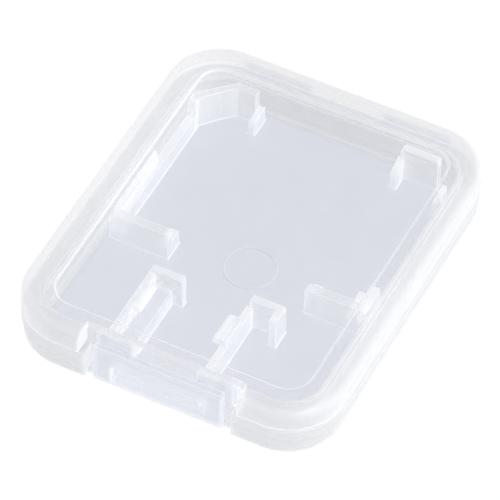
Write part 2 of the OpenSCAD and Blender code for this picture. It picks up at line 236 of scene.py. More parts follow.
@dataclass(frozen=True)
class ClearPlastic:
    """Translucent moulded polypropylene.

    Each surface lets most light through and scatters the rest, more of it where it is met
    along the surface. The measure "thick" of a mesh says where the wall is thick and milky, and
    the rim measure paints a white highlight along an edge or cut end, where the light that these
    gather would show. Part of what is scattered passes through to the other side. Shadow rays take
    every surface as clear, so that light reaches the inside of the case.
    """

    name: str
    clear_tint: tuple[float, float, float] = (0.86, 0.88, 0.93)
    white: tuple[float, float, float] = (0.93, 0.93, 0.94)
    tint: tuple[float, float, float] = (0.98, 0.982, 0.988)
    wall_tint: tuple[float, float, float] = (0.942, 0.942, 0.946)
    haze: float = 0.06
    wall_haze: float = 0.17
    painted_highlight_haze: float = 0.42
    roughness: float = 0.22
    through: float = 0.45
    cloud_size: float = 4.0
    cloud_haze: float = 0.5
    cloud_roughness: float = 0.12
    grain_size: float = 0.35
    grain_roughness: float = 0.08
    grain_height: float = 0.0015
    least_cosine: float = 0.22
    most_depth: float = 0.9
    mirror: float = 0.04
    grazing_mirror: float = 0.4

    def make(self) -> bpy.types.Material:
        """Return the material."""
        r = Recipe(bpy.data.materials.new(self.name))
        facing = r.term(r.node("ShaderNodeLayerWeight", None, {"Blend": 0.5}), "Facing")
        cosine = (1.0 - facing).most(self.least_cosine)
        # painted highlight along edges and cut ends: it makes the surface milkier and its colour whiter
        glow = r.measure(Measure.PAINTED_HIGHLIGHT)
        thick = r.measure(Measure.THICK)
        # milky is the wall's own milkiness plus the painted highlight
        milky = (glow + thick).least(1.0)
        cloud = r.noise(1 / (self.cloud_size * MM), detail=3.0, roughness=0.55)
        grain = r.noise(1 / (self.grain_size * MM), detail=2.0, roughness=0.6)
        depth = thick * (self.wall_haze - self.haze) + self.haze
        depth = depth * (cloud * self.cloud_haze + (1 - self.cloud_haze / 2)) + glow * self.painted_highlight_haze
        shadow = r.term(r.node("ShaderNodeLightPath"), "Is Shadow Ray")
        clear = ((1.0 - depth.least(self.most_depth)) ** (1.0 / cosine)).most(shadow)
        mirror = (facing**5.0 * self.grazing_mirror + self.mirror) * (1.0 - shadow)
        values = {"Strength": 0.5, "Distance": self.grain_height * MM, "Height": grain}
        bump = r.node("ShaderNodeBump", None, values).outputs[0]
        smooth = self.roughness - (self.cloud_roughness + self.grain_roughness) / 2
        values = {
            "Base Color": r.blend(milky, self.clear_tint, self.white),
            "Roughness": cloud * self.cloud_roughness + grain * self.grain_roughness + smooth,
            "Specular IOR Level": 0.0,
        }
        matte = r.node("ShaderNodeBsdfPrincipled", None, values)
        passed = [
            r.node("ShaderNodeBsdfTranslucent", None, {"Color": (*colour, 1)})
            for colour in (self.clear_tint, self.white)
        ]
        windows = [
            r.node("ShaderNodeBsdfTransparent", None, {"Color": (*colour, 1)})
            for colour in (self.tint, self.wall_tint)
        ]
        milk = r.mix(self.through, matte, r.mix(milky, *passed))
        body = r.mix(clear, milk, r.mix(milky, *windows))
        gloss = r.node("ShaderNodeBsdfGlossy", None, {"Roughness": self.roughness, "Normal": bump})
        return r.finish(r.mix(mirror, body, gloss))


# Studio


@dataclass
class Studio:
    """Floor, light and camera at the photograph's angle; lengths in millimetres."""

    floor_size: float = 3000.0
    floor_drop: float = 0.02
    floor_shine: float = 0.8
    aim: tuple[float, float, float] = (0.0, 0.0, 3.675)
    distance: float = 603.1
    elevation: float = 48.385
    azimuth: float = 25.681
    roll: float = 1.432
    lens: float = 358.68
    sensor: float = 36.0
    frame_pixels: float = 500.0
    aim_pixel: tuple[float, float] = (253.57, 244.28)
    world_light: float = 0.72

    def build(self) -> None:
        """Make the floor, the lamps, the world and the camera."""
        self.floor()
        self.world()
        self.lamps()
        self.camera()

    def floor(self) -> None:
        """Lay a plain pale floor under the case."""
        bm = bmesh.new()
        bmesh.ops.create_grid(bm, x_segments=1, y_segments=1, size=self.floor_size / 2 * MM)
        mesh = bpy.data.meshes.new("floor")
        bm.to_mesh(mesh)
        bm.free()
        plane = bpy.data.objects.new("floor", mesh)
        plane.location.z = -self.floor_drop * MM
        link(plane)
        r = Recipe(bpy.data.materials.new("floor_paper"))
        path = r.node("ShaderNodeLightPath")
        seen = r.term(path, "Is Camera Ray").most(r.term(path, "Is Glossy Ray"))
        seen = seen.most(r.term(path, "Is Transmission Ray"))
        paper = r.node("ShaderNodeBsdfDiffuse", None, {"Color": (0.92, 0.92, 0.92, 1)})
        glow = r.node("ShaderNodeEmission", None, {"Color": (1, 1, 1, 1), "Strength": 1.0})
        plane.data.materials.append(r.finish(r.mix(seen * self.floor_shine, paper, glow)))

    def world(self) -> None:
        """Give even white light from all round, and pure white where the world is seen."""
        r = Recipe(bpy.data.worlds.new("soft_room"))
        seen = r.term(r.node("ShaderNodeLightPath"), "Is Camera Ray")
        strength = seen * (1.0 - self.world_light) + self.world_light
        sky = r.node("ShaderNodeBackground", None, {"Color": (1, 1, 1, 1), "Strength": strength})
        bpy.context.scene.world = r.finish(sky, "ShaderNodeOutputWorld")

    def lamp(self, name: str, azimuth: float, elevation: float, size: float, power: float) -> None:
        """Hang a soft square lamp that looks at the case.

        Args:
            name: the lamp's name.
            azimuth: degrees from the back (+Y) towards the right (+X).
            elevation: degrees above the floor.
            size: side of the lamp in millimetres.
            power: power in watts.
        """
        data = bpy.data.lights.new(name, "AREA")
        data.shape = "SQUARE"
        data.size = size * MM
        data.energy = power
        lamp = bpy.data.objects.new(name, data)
        a, e = math.radians(azimuth), math.radians(elevation)
        way = Vector((math.sin(a) * math.cos(e), math.cos(a) * math.cos(e), math.sin(e)))
        lamp.location = way * self.distance * MM
        lamp.rotation_euler = way.to_track_quat("Z", "Y").to_euler()
        link(lamp)

    def lamps(self) -> None:
        """Hang a low key on the right, a soft lamp overhead and a weak fill on the left."""
        self.lamp("key_right", azimuth=95.0, elevation=32.0, size=720.0, power=3.2)
        self.lamp("soft_top", azimuth=0.0, elevation=86.0, size=500.0, power=0.7)
        self.lamp("fill_left", azimuth=-70.0, elevation=35.0, size=420.0, power=0.4)

    def camera(self) -> None:
        """Stand the camera where the photograph was taken from."""
        data = bpy.data.cameras.new("camera")
        data.lens = self.lens
        data.sensor_width = self.sensor
        data.clip_start, data.clip_end = 0.05, 20.0
        camera = bpy.data.objects.new("camera", data)
        e, a, roll = (math.radians(v) for v in (self.elevation, self.azimuth, self.roll))
        back = Vector((math.sin(a) * math.cos(e), -math.cos(a) * math.cos(e), math.sin(e)))
        right = Vector((math.cos(a), math.sin(a), 0.0))
        up = back.cross(right)
        across = right * math.cos(roll) + up * math.sin(roll)
        upward = up * math.cos(roll) - right * math.sin(roll)
        pixel = self.distance / (self.lens / self.sensor * self.frame_pixels)
        half = self.frame_pixels / 2
        place = Vector(self.aim) + back * self.distance
        place -= across * (self.aim_pixel[0] - half) * pixel
        place -= upward * (half - self.aim_pixel[1]) * pixel
        turn = Matrix((across, upward, back)).transposed().to_4x4()
        camera.matrix_world = Matrix.Translation(place * MM) @ turn
        link(camera)
        bpy.context.scene.camera = camera


# Modelling


class Measure(Enum):
    """Numbers that each corner of a mesh carries for the shader."""

    # painted highlight: edges and cut ends painted white where they would gather light
    PAINTED_HIGHLIGHT = "rim_glow"
    THICK = "thick"


class Axis(Enum):
    """The axis that an outline is drawn out along, as a turn from its own plane."""

    X = Matrix(((0, 0, 1), (1, 0, 0), (0, 1, 0)))
    Y = Matrix(((1, 0, 0), (0, 0, 1), (0, 1, 0)))
    Z = Matrix(((1, 0, 0), (0, 1, 0), (0, 0, 1)))


class Mould:
    """A closed mesh being modelled in millimetres."""

    def __init__(self) -> None:
        """Start empty."""
        self.bm = bmesh.new()
        self.lines: list[tuple[Vector, Vector]] = []
        self.sides: set[tuple[float, ...]] = set()

    def mesh(self, name: str, scale: float = 1.0) -> bpy.types.Mesh:
        """Return a mesh of what has been modelled, scaled."""
        mesh = bpy.data.meshes.new(name)
        if scale != 1.0:
            bmesh.ops.scale(self.bm, vec=(scale,) * 3, verts=self.bm.verts)
        self.bm.to_mesh(mesh)
        return mesh

    def box(self, low: Sequence[float], high: Sequence[float]) -> "Mould":
        """Add a box between two corners and return self."""
        low, high = Vector(low), Vector(high)
        place = Matrix.Translation((low + high) / 2) @ Matrix.Diagonal((*(high - low), 1))
        bmesh.ops.create_cube(self.bm, size=1, matrix=place)
        return self

    def prism(self, outline: Sequence[Point], low: float, high: float, axis: Axis) -> "Mould":
        """Add an outline drawn out along an axis.

        Args:
            outline: corners in the plane square to the axis: YZ, XZ or XY.
            low: where it starts on the axis.
            high: where it ends.
            axis: the axis.

        Returns:
            Self.
        """
        turn = axis.value
        corners = [self.bm.verts.new(turn @ Vector((*p, low))) for p in outline]
        face = self.bm.faces.new(corners)
        drawn = bmesh.ops.extrude_face_region(self.bm, geom=[face])["geom"]
        moved = [g for g in drawn if isinstance(g, bmesh.types.BMVert)]
        bmesh.ops.translate(self.bm, vec=turn @ Vector((0, 0, high - low)), verts=moved)
        island = dict.fromkeys(f for v in [*moved, *corners] for f in v.link_faces)
        bmesh.ops.recalc_face_normals(self.bm, faces=list(island))
        return self

    def plate(
        self, low: Sequence[float], high: Sequence[float], axis: Axis, radius: float = 0.4
    ) -> "Mould":
        """Add an upright plate with its two upper corners rounded.

        Args:
            low: lowest corner.
            high: highest corner.
            axis: the axis of its thickness, X or Y.
            radius: radius of the upper corners.

        Returns:
            Self.
        """
        side, thick = (1, 0) if axis is Axis.X else (0, 1)
        outline = [(low[side], low[2]), (high[side], low[2])]
        outline += arc((high[side] - radius, high[2] - radius), radius, 0, 90, 5)
        outline += arc((low[side] + radius, high[2] - radius), radius, 90, 180, 5)
        return self.prism(outline, low[thick], high[thick], axis)

    def combine(self, other: "Mould", operation: str = "UNION") -> "Mould":
        """Join another closed mesh to this one, or cut it away.

        Args:
            other: the other mesh.
            operation: UNION or DIFFERENCE.

        Returns:
            Self.
        """
        pair = [bpy.data.objects.new("work", m.mesh("work")) for m in (self, other)]
        for o in pair:
            link(o)
        step = pair[0].modifiers.new("step", "BOOLEAN")
        step.operation, step.object, step.solver = operation, pair[1], "EXACT"
        graph = bpy.context.evaluated_depsgraph_get()
        made = bpy.data.meshes.new_from_object(pair[0].evaluated_get(graph))
        self.bm.clear()
        self.bm.from_mesh(made)
        meshes = [made, *(o.data for o in pair)]
        for o in pair:
            bpy.data.objects.remove(o)
        for m in meshes:
            bpy.data.meshes.remove(m)
        return self

    def tidy(self, flatten: bool = True) -> "Mould":
        """Merge doubles, make flat areas one face and point faces outwards.

        Args:
            flatten: False keeps the lines that lie in flat areas.

        Returns:
            Self.
        """
        bm = self.bm
        bmesh.ops.remove_doubles(bm, verts=bm.verts, dist=0.002)
        self.settle()
        if flatten:
            limit = math.radians(0.5)
            bmesh.ops.dissolve_limit(bm, angle_limit=limit, verts=bm.verts, edges=bm.edges)
        bmesh.ops.recalc_face_normals(bm, faces=bm.faces)
        return self.settle()

    def settle(self) -> "Mould":
        """Number corners, edges and faces by their places, for runs that agree, and return self."""
        bm = self.bm
        for items in (bm.verts, bm.edges, bm.faces):
            places = {
                item: sorted(v.co.to_tuple(4) for v in getattr(item, "verts", [item])) for item in items
            }
            rank = {item: i for i, item in enumerate(sorted(places, key=places.get))}
            items.sort(key=rank.get)
        return self

    def flare(self, floor: float, reach: float = 0.16, rise: float = 0.2) -> "Mould":
        """Spread the foot where it meets the floor, as the moulded fillet does.

        Args:
            floor: height of the floor; faces that look down there get the foot.
            reach: how far the foot spreads.
            rise: how high it starts.

        Returns:
            Self.
        """
        self.bm.normal_update()
        under = floor + 0.01
        feet = [f for f in self.bm.faces if f.normal.z < -0.9 and f.calc_center_median().z < under]
        low = dict.fromkeys(v for f in feet for v in f.verts)
        spread = {}
        for v in low:
            sides = [f.normal for f in v.link_faces if f not in feet]
            ways: list[Vector] = []
            for n in sides:
                flat = Vector((n.x, n.y, 0)).normalized()
                if all(flat.dot(w) < 0.99 for w in ways):
                    ways.append(flat)
            first, last = ways[0], ways[-1]
            spread[v.co.to_tuple(4)] = (first + last) / max(1 + first.dot(last), 0.5) * reach
        bmesh.ops.translate(self.bm, vec=(0, 0, rise), verts=list(low))
        drawn = bmesh.ops.extrude_face_region(self.bm, geom=feet)["geom"]
        bmesh.ops.delete(self.bm, geom=feet, context="FACES_ONLY")
        for v in drawn:
            if isinstance(v, bmesh.types.BMVert):
                v.co.z -= rise
                v.co += spread[v.co.to_tuple(4)]
                v.co.z -= FOOT_SINK
        return self.settle()

    def soften(
        self, radius: float, above: float = -1e9, segments: int = 2, angle: float = 38
    ) -> "Mould":
        """Round every edge that is sharper than an angle, and note for glow() where they were.

        Args:
            radius: width of the rounding.
            above: only edges that reach higher than this.
            segments: steps of the rounding.
            angle: least angle between the faces, in degrees.

        Returns:
            Self.
        """
        bm = self.bm
        bm.normal_update()
        breadth = bm.faces.layers.float.new("breadth")
        for f in bm.faces:
            f[breadth] = 4 * f.calc_area() / max(f.calc_perimeter(), 1e-9)
            if f.calc_area() > 1.0:
                offset = round(f.normal.dot(f.verts[0].co), 2)
                self.sides.add((*(round(c, 2) for c in f.normal), offset))
        sharp = [
            e for e in bm.edges if len(e.link_faces) == 2 and e.calc_face_angle(0) > math.radians(angle)
        ]
        self.lines = [tuple(v.co.copy() for v in e.verts) for e in sharp]
        bmesh.ops.bevel(
            bm,
            geom=[e for e in sharp if min(v.co.z for v in e.verts) > above],
            offset=radius,
            offset_type="OFFSET",
            affect="EDGES",
            segments=segments,
            profile=0.5,
            material=-1,
            clamp_overlap=True,
        )
        bmesh.ops.remove_doubles(bm, verts=bm.verts, dist=0.003)
        return self.settle()

    def split(self, normal: Vector, offset: float) -> "Mould":
        """Add a line where a plane at an offset along its normal meets the mesh, and return self."""
        bm = self.bm
        bmesh.ops.triangulate(bm, faces=[f for f in bm.faces if len(f.verts) > 4])
        geometry = [*bm.verts, *bm.edges, *bm.faces]
        bmesh.ops.bisect_plane(bm, geom=geometry, plane_co=normal * offset, plane_no=normal, dist=0.001)
        return self

    def measure(self, kind: Measure, value: Callable[[Vector], float]) -> "Mould":
        """Give every corner a number worked out from its place, and return self."""
        layers = self.bm.verts.layers.float
        layer = layers.get(kind.value) or layers.new(kind.value)
        for v in self.bm.verts:
            v[layer] = value(v.co)
        return self

    def glow(
        self, border: float = 0.3, least: float = 1.6, face: float = 0.0, edge: float = 1.0
    ) -> "Mould":
        """Paint a highlight along the edges after soften(), and fade it on wide faces.

        Args:
            border: width over which it fades.
            least: narrowest face that has a clear middle.
            face: painted highlight left in the middle of a wide face.
            edge: painted highlight of edges and narrow faces.

        Returns:
            Self.
        """
        bm = self.bm
        for *normal, offset in sorted(self.sides):
            self.split(Vector(normal).normalized(), offset - border)

        def away(co: Vector) -> float:
            """Return the distance to the nearest sharp line."""
            spans = [(b - a, co - a) for a, b in self.lines]
            return min(
                (to - span * min(max(to.dot(span) / max(span.dot(span), 1e-9), 0.0), 1.0)).length
                for span, to in spans
            )

        self.measure(Measure.PAINTED_HIGHLIGHT, lambda co: face + (edge - face) * max(1 - away(co) / border, 0.0))
        layer = bm.verts.layers.float[Measure.PAINTED_HIGHLIGHT.value]
        breadth = bm.faces.layers.float["breadth"]
        for f in bm.faces:
            if f[breadth] < least:
                for v in f.verts:
                    v[layer] = edge
        bm.faces.layers.float.remove(breadth)
        return self

    def stand(self, name: str, material: bpy.types.Material) -> bpy.types.Object:
        """Put the model in the scene, in metres at the origin, and return its object."""
        mesh = self.mesh(name, MM)
        self.bm.free()
        mesh.shade_smooth()
        mesh.set_sharp_from_angle(angle=math.radians(SHARP_ANGLE))
        mesh.materials.append(material)
        made = bpy.data.objects.new(name, mesh)
        link(made)
        return made

    def piece(
        self,
        name: str,
        material: bpy.types.Material,
        body: Body,
        slot: Slot,
        nodes: Sequence[str],
    ) -> bpy.types.Object:
        """Turn the model into a piece of the case.

        Args:
            name: the piece's name.
            material: its material.
            body: the body it rides on.
            slot: not used.
            nodes: the CAD nodes that it stands for.

        Returns:
            The new object.
        """
        if Measure.THICK.value not in self.bm.verts.layers.float:
            self.measure(Measure.THICK, lambda co: 0.0)
        made = self.stand(name, material)
        made.modifiers.new("even_normals", "WEIGHTED_NORMAL").keep_sharp = True
        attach(made, body.value)
        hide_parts(*nodes)
        log.info("%s: %d faces, on %s", name, len(made.data.polygons), body.value)
        return made


def arc(centre: Point, radius: float, start: float, end: float, steps: int) -> list[Point]:
    """Return points along a circular arc; angles in degrees."""
    turns = [math.radians(start + (end - start) * i / steps) for i in range(steps + 1)]
    return [(centre[0] + radius * math.cos(t), centre[1] + radius * math.sin(t)) for t in turns]


@dataclass(frozen=True)
class Station:
    """A closed line round the case in the section of a shell.

    inset is its distance inwards from the outside of the case, glow and thick its measures:
    glow the painted highlight, thick the milkiness of the wall.
    """

    inset: float
    z: float
    glow: float = 0.0
    thick: float = 1.0


@dataclass(frozen=True)
class Cut:
    """A plane that a shell was cut along.

    offset is its distance along its normal, which looks into what is left, fade the width over
    which its painted highlight fades there, and before the y that the cut stays in front of.
    """

    normal: tuple[float, float, float]
    offset: float
    before: float
    fade: float = 0.35


def ring_shell(
    size: Point, radius: float, stations: Sequence[Station], segments: int = 24
) -> Mould:
    """Model a closed shell with a rounded-rectangle plan.

    Args:
        size: width and length outside.
        radius: plan radius of the corners outside.
        stations: the section, from the middle of one face outwards, round and back to the
            middle of the other face.
        segments: steps of each corner.

    Returns:
        The shell, with its measures.
    """
    mould = Mould()
    bm = mould.bm
    core = Vector((size[0] / 2 - radius, size[1] / 2 - radius))
    bmesh.ops.create_grid(bm, x_segments=1, y_segments=1, size=1)
    bmesh.ops.scale(bm, vec=(size[0] / 2, size[1] / 2, 1), verts=bm.verts)
    bmesh.ops.bevel(
        bm, geom=bm.verts[:], offset=radius, segments=segments, profile=0.5, affect="VERTICES", material=-1
    )
    bmesh.ops.reverse_faces(bm, faces=bm.faces)
    glow = bm.verts.layers.float.new(Measure.PAINTED_HIGHLIGHT.value)
    thick = bm.verts.layers.float.new(Measure.THICK.value)
    bm.faces.ensure_lookup_table()
    cap = bm.faces[0]
    way = {}
    for v in cap.verts:
        corner = Vector((math.copysign(core.x, v.co.x), math.copysign(core.y, v.co.y)))
        way[v] = (corner, (v.co.xy - corner).normalized())
    for number, station in enumerate(stations):
        if number:
            old = {v.co.to_tuple(6): way[v] for v in cap.verts}
            drawn = bmesh.ops.extrude_face_region(bm, geom=[cap])["geom"]
            if number > 1:
                bmesh.ops.delete(bm, geom=[cap], context="FACES_ONLY")
            fresh = [g for g in drawn if isinstance(g, bmesh.types.BMVert)]
            cap = next(g for g in drawn if isinstance(g, bmesh.types.BMFace))
            for v in fresh:
                way[v] = old[v.co.to_tuple(6)]
        for v in cap.verts:
            corner, direction = way[v]
            reach = max(radius - station.inset, LEAST_RADIUS)
            short = reach - (radius - station.inset)
            back = Vector((math.copysign(short, corner.x), math.copysign(short, corner.y)))
            v.co = (*(corner + direction * reach - back), station.z)
            v[glow], v[thick] = station.glow, station.thick
    bmesh.ops.recalc_face_normals(bm, faces=bm.faces)
    return mould


def cut_measures(
    mould: Mould, size: Point, radius: float, stations: Sequence[Station], cuts: Sequence[Cut]
) -> None:
    """Give each corner of a cut shell its measures again, and paint a highlight on the cut faces.

    Args:
        mould: the shell.
        size: width and length outside.
        radius: plan radius of the corners outside.
        stations: its section.
        cuts: the planes that it was cut along.
    """
    for cut in cuts:
        mould.split(Vector(cut.normal), cut.offset + cut.fade)

    def nearest(co: Vector) -> Station:
        """Return the station nearest to a corner."""
        x, y = abs(co.x) - size[0] / 2 + radius, abs(co.y) - size[1] / 2 + radius
        inset = radius - math.hypot(max(x, 0), max(y, 0)) - min(max(x, y), 0)
        return min(stations, key=lambda s: math.hypot(s.inset - inset, s.z - co.z))

    def on_cut(co: Vector) -> bool:
        """Tell whether a corner lies on one of the cut planes."""
        return any(abs(co.dot(Vector(c.normal)) - c.offset) < 0.002 and co.y < c.before for c in cuts)

    # the cut faces get a full painted highlight and some milkiness
    mould.measure(Measure.PAINTED_HIGHLIGHT, lambda co: 1.0 if on_cut(co) else nearest(co).glow)
    mould.measure(Measure.THICK, lambda co: 0.6 if on_cut(co) else nearest(co).thick)


# Pieces


@dataclass
class Case:
    """Sizes that all the pieces share, in millimetres."""

    width: float = 42.0
    length: float = 51.1
    height: float = 7.3
    corner: float = 7.2
    wall: float = 2.5
    floor: float = 0.95
    plate: float = 1.0
    parting: float = 4.2
    gap: float = 0.1
    card_rest: float = 3.3

    @property
    def size(self) -> Point:
        """Width and length outside."""
        return (self.width, self.length)

    @property
    def front(self) -> float:
        """Y of the front of the case."""
        return -self.length / 2

    @property
    def ceiling(self) -> float:
        """Height of the underside of the lid plate."""
        return self.height - self.plate

    def mouth(self, z: float, edge: float, way: int) -> list[Station]:
        """Return the rim of a wall, from its outside to its inside.

        Args:
            z: its height.
            edge: how far its two edges are rounded.
            way: 1 where it looks up, -1 where it looks down.

        Returns:
            Its stations.
        """
        side = [(0, edge), (edge * 0.3, edge * 0.3), (edge, 0)]
        rows = [Station(x, z - way * fall, EDGE_PAINTED_HIGHLIGHT) for x, fall in side]
        rows += [Station(edge + 0.4, z, 0.3), Station(self.wall - edge - 0.4, z, 0.3)]
        return rows + [Station(self.wall - x, z - way * fall, EDGE_PAINTED_HIGHLIGHT) for x, fall in reversed(side)]


@dataclass
class Tray:
    """The tray: floor, wall with a band round its mouth, cut for the latch, ring on the floor."""

    case: Case
    band_low: float = 2.55
    band_step: float = 0.25
    bottom_round: float = 0.4
    edge: float = 0.12
    fillet: float = 0.5
    notch: float = 9.8
    floor_front: float = -24.3
    mark_place: Point = (0.3, -1.5)
    mark_radius: float = 3.4
    mark_width: float = 0.3
    mark_height: float = 0.12

    def section(self) -> list[Station]:
        """Return the section of the tray, from the middle of its underside to its floor."""
        c, step, e = self.case, self.band_step, self.edge
        rows = [Station(4.2, 0, 0, 0), Station(2.6, 0, 0.0, 0.4), Station(1.0, 0, 0.3, 1)]
        centre = (step + self.bottom_round, self.bottom_round)
        rows += [Station(x, z, 0.8) for x, z in arc(centre, self.bottom_round, 270, 180, 5)]
        rows += [
            Station(step, self.bottom_round + 0.25, 0.1),
            Station(step, self.band_low - 0.3, 0.05),
            Station(step, self.band_low - 0.04, 0.4),
            Station(step - 0.04, self.band_low, EDGE_PAINTED_HIGHLIGHT),
            Station(e * 0.6, self.band_low, EDGE_PAINTED_HIGHLIGHT),
            Station(0, self.band_low + e * 0.6, EDGE_PAINTED_HIGHLIGHT),
            Station(0, self.band_low + 0.35, 0.15),
            Station(0, c.parting - 0.45, 0.15),
            *c.mouth(c.parting, e, 1),
            Station(c.wall, c.parting - 0.5, 0.1),
            Station(c.wall, c.floor + self.fillet + 0.3, 0.1),
        ]
        centre = (c.wall + self.fillet, c.floor + self.fillet)
        rows += [Station(x, z, 0.45) for x, z in arc(centre, self.fillet, 180, 270, 5)]
        rows += [
            Station(c.wall + self.fillet + 0.3, c.floor, 0.1, 0.3),
            Station(c.wall + self.fillet + 0.9, c.floor, 0, 0),
        ]
        return rows

    def build(self, material: bpy.types.Material) -> bpy.types.Object:
        """Model the tray and return its piece."""
        c = self.case
        rows = self.section()
        shell = ring_shell(c.size, c.corner, rows)
        inside = c.front + c.wall + self.fillet
        cut = Mould().box((-self.notch, c.front - 1, c.floor), (self.notch, inside, c.parting + 1))
        shell.combine(cut, "DIFFERENCE")
        under = Mould().box((-self.notch, c.front - 1, -1), (self.notch, self.floor_front, c.parting + 1))
        shell.combine(under, "DIFFERENCE").tidy(flatten=False)
        cuts = [Cut((side, 0, 0), self.notch, inside) for side in (-1, 1)]
        cuts.append(Cut((0, 1, 0), self.floor_front, inside))
        cut_measures(shell, c.size, c.corner, rows, cuts)
        self.mark(shell)
        return shell.piece("tray_shell", material, Body.TRAY, Slot.TRAY, ["base_tray"])

    def mark(self, shell: Mould) -> None:
        """Add the plain ring that is moulded on the floor."""
        ring = Mould()
        low, half = self.case.floor - FOOT_SINK, self.mark_width / 2
        outline = [(-half, low), (half, low), (half * 0.5, self.case.floor + self.mark_height)]
        outline += [(-half * 0.5, self.case.floor + self.mark_height)]
        verts = [ring.bm.verts.new((self.mark_radius - half + x, 0, z)) for x, z in outline]
        edges = [ring.bm.edges.new((a, b)) for a, b in zip(verts, verts[1:] + verts[:1])]
        bmesh.ops.spin(
            ring.bm, geom=[*verts, *edges], cent=(0, 0, 0), axis=(0, 0, 1), angle=2 * math.pi, steps=72,
            use_merge=True,
        )
        bmesh.ops.translate(ring.bm, vec=(*self.mark_place, 0), verts=ring.bm.verts)
        bmesh.ops.recalc_face_normals(ring.bm, faces=ring.bm.faces)
        # the ring is painted fully highlighted and milky
        ring.measure(Measure.PAINTED_HIGHLIGHT, lambda co: 1.0)
        ring.measure(Measure.THICK, lambda co: 1.0)
        part = ring.mesh("ring")
        shell.bm.from_mesh(part)
        bpy.data.meshes.remove(part)
        ring.bm.free()


@dataclass
class Lid:
    """The lid: plate with a sunken panel, wall all round, cut over the latch."""

    case: Case
    top_round: float = 0.9
    edge: float = 0.12
    panel_inset: float = 4.0
    panel_depth: float = 0.25
    fillet: float = 0.35
    notch: float = 10.5
    notch_back: float = -22.85

    def section(self) -> list[Station]:
        """Return the section of the lid, from the middle of its ceiling to its panel."""
        c, e = self.case, self.edge
        low = c.parting + c.gap
        rows = [Station(c.wall + 1.2, c.ceiling, 0, 0), Station(c.wall + 0.6, c.ceiling, 0, 0.1)]
        centre = (c.wall + self.fillet, c.ceiling - self.fillet)
        rows += [Station(x, z, 0.4) for x, z in arc(centre, self.fillet, 90, 180, 4)]
        rows += [
            Station(c.wall, c.ceiling - self.fillet - 0.3, 0.05),
            Station(c.wall, low + 0.5, 0.05),
            *reversed(c.mouth(low, e, -1)),
            Station(0, low + 0.5, 0.1),
            Station(0, c.height - self.top_round - 0.35, 0.1),
        ]
        centre = (self.top_round, c.height - self.top_round)
        turned = arc(centre, self.top_round, 180, 90, 10)
        # painted highlight over the top rounding, strongest at its middle
        rows += [Station(x, z, 0.2 + 0.3 * math.sin(math.pi * i / 10)) for i, (x, z) in enumerate(turned)]
        floor = c.height - self.panel_depth
        rows += [
            Station(self.top_round + 0.5, c.height, 0.1),
            Station(c.wall - 0.1, c.height, 0.05, 0.6),
            Station(c.wall + 0.25, c.height, 0.0, 0.1),
            Station(self.panel_inset - 0.3, c.height, 0.0, 0.0),
            # the panel's step is painted as a bright highlight line, with full glow and milkiness
            Station(self.panel_inset - 0.04, c.height, 1.0, 0.6),
            Station(self.panel_inset + 0.03, c.height - 0.03, 1.0, 1.0),
            Station(self.panel_inset + 0.13, floor + 0.02, 1.0, 1.0),
            Station(self.panel_inset + 0.2, floor, 0.8, 0.4),
            Station(self.panel_inset + 0.4, floor, 0, 0),
        ]
        return rows

    def build(self, material: bpy.types.Material) -> bpy.types.Object:
        """Model the lid and return its piece."""
        c = self.case
        rows = self.section()
        shell = ring_shell(c.size, c.corner, rows)
        low, high = (-self.notch, c.front - 1, c.parting - 1), (self.notch, self.notch_back, c.height + 1)
        cut = Mould().box(low, high)
        shell.combine(cut, "DIFFERENCE").tidy(flatten=False)
        cuts = [Cut((side, 0, 0), self.notch, self.notch_back) for side in (-1, 1)]
        cuts.append(Cut((0, 1, 0), self.notch_back, c.front + c.corner))
        cut_measures(shell, c.size, c.corner, rows, cuts)
        return shell.piece("lid_cover", material, Body.LID, Slot.LID, ["lid_shell"])


@dataclass
class Catch:
    """The catch under the front of the lid: two legs, a bar and the hook."""

    case: Case
    half_width: float = 9.1
    front: float = -23.6
    leg_back: float = -22.25
    plate_back: float = -22.85
    bottom: float = 2.7
    top: float = 6.8
    half_window: float = 4.2
    bar_top: float = 4.37
    half_hook: float = 5.5
    hook: tuple[Point, ...] = ((-23.6, 1.7), (-23.0, 1.7), (-23.0, 4.02), (-25.2, 4.02), (-25.2, 2.3))

    def build(self, material: bpy.types.Material) -> bpy.types.Object:
        """Model the catch and return its piece."""
        c = self.case
        leg = [
            (self.front, self.bottom),
            (self.leg_back, self.bottom),
            (self.leg_back, c.ceiling),
            (self.plate_back, c.ceiling),
            (self.plate_back, self.top),
            (self.front, self.top),
        ]
        body = Mould().prism(leg, -self.half_width, self.half_width, Axis.X)
        low = (-self.half_window, self.front - 1, self.bar_top)
        window = Mould().box(low, (self.half_window, self.leg_back + 1, self.top + 1))
        body.combine(window, "DIFFERENCE")
        body.combine(Mould().prism(self.hook, -self.half_hook, self.half_hook, Axis.X))
        # painted highlight on edges, and a fainter one over whole faces
        body.tidy(flatten=False).soften(0.15, segments=3).glow(border=0.35, least=1.8, face=0.45, edge=0.75)
        return body.piece("lid_catch_hook", material, Body.LID, Slot.LID, ["lid_catch"])


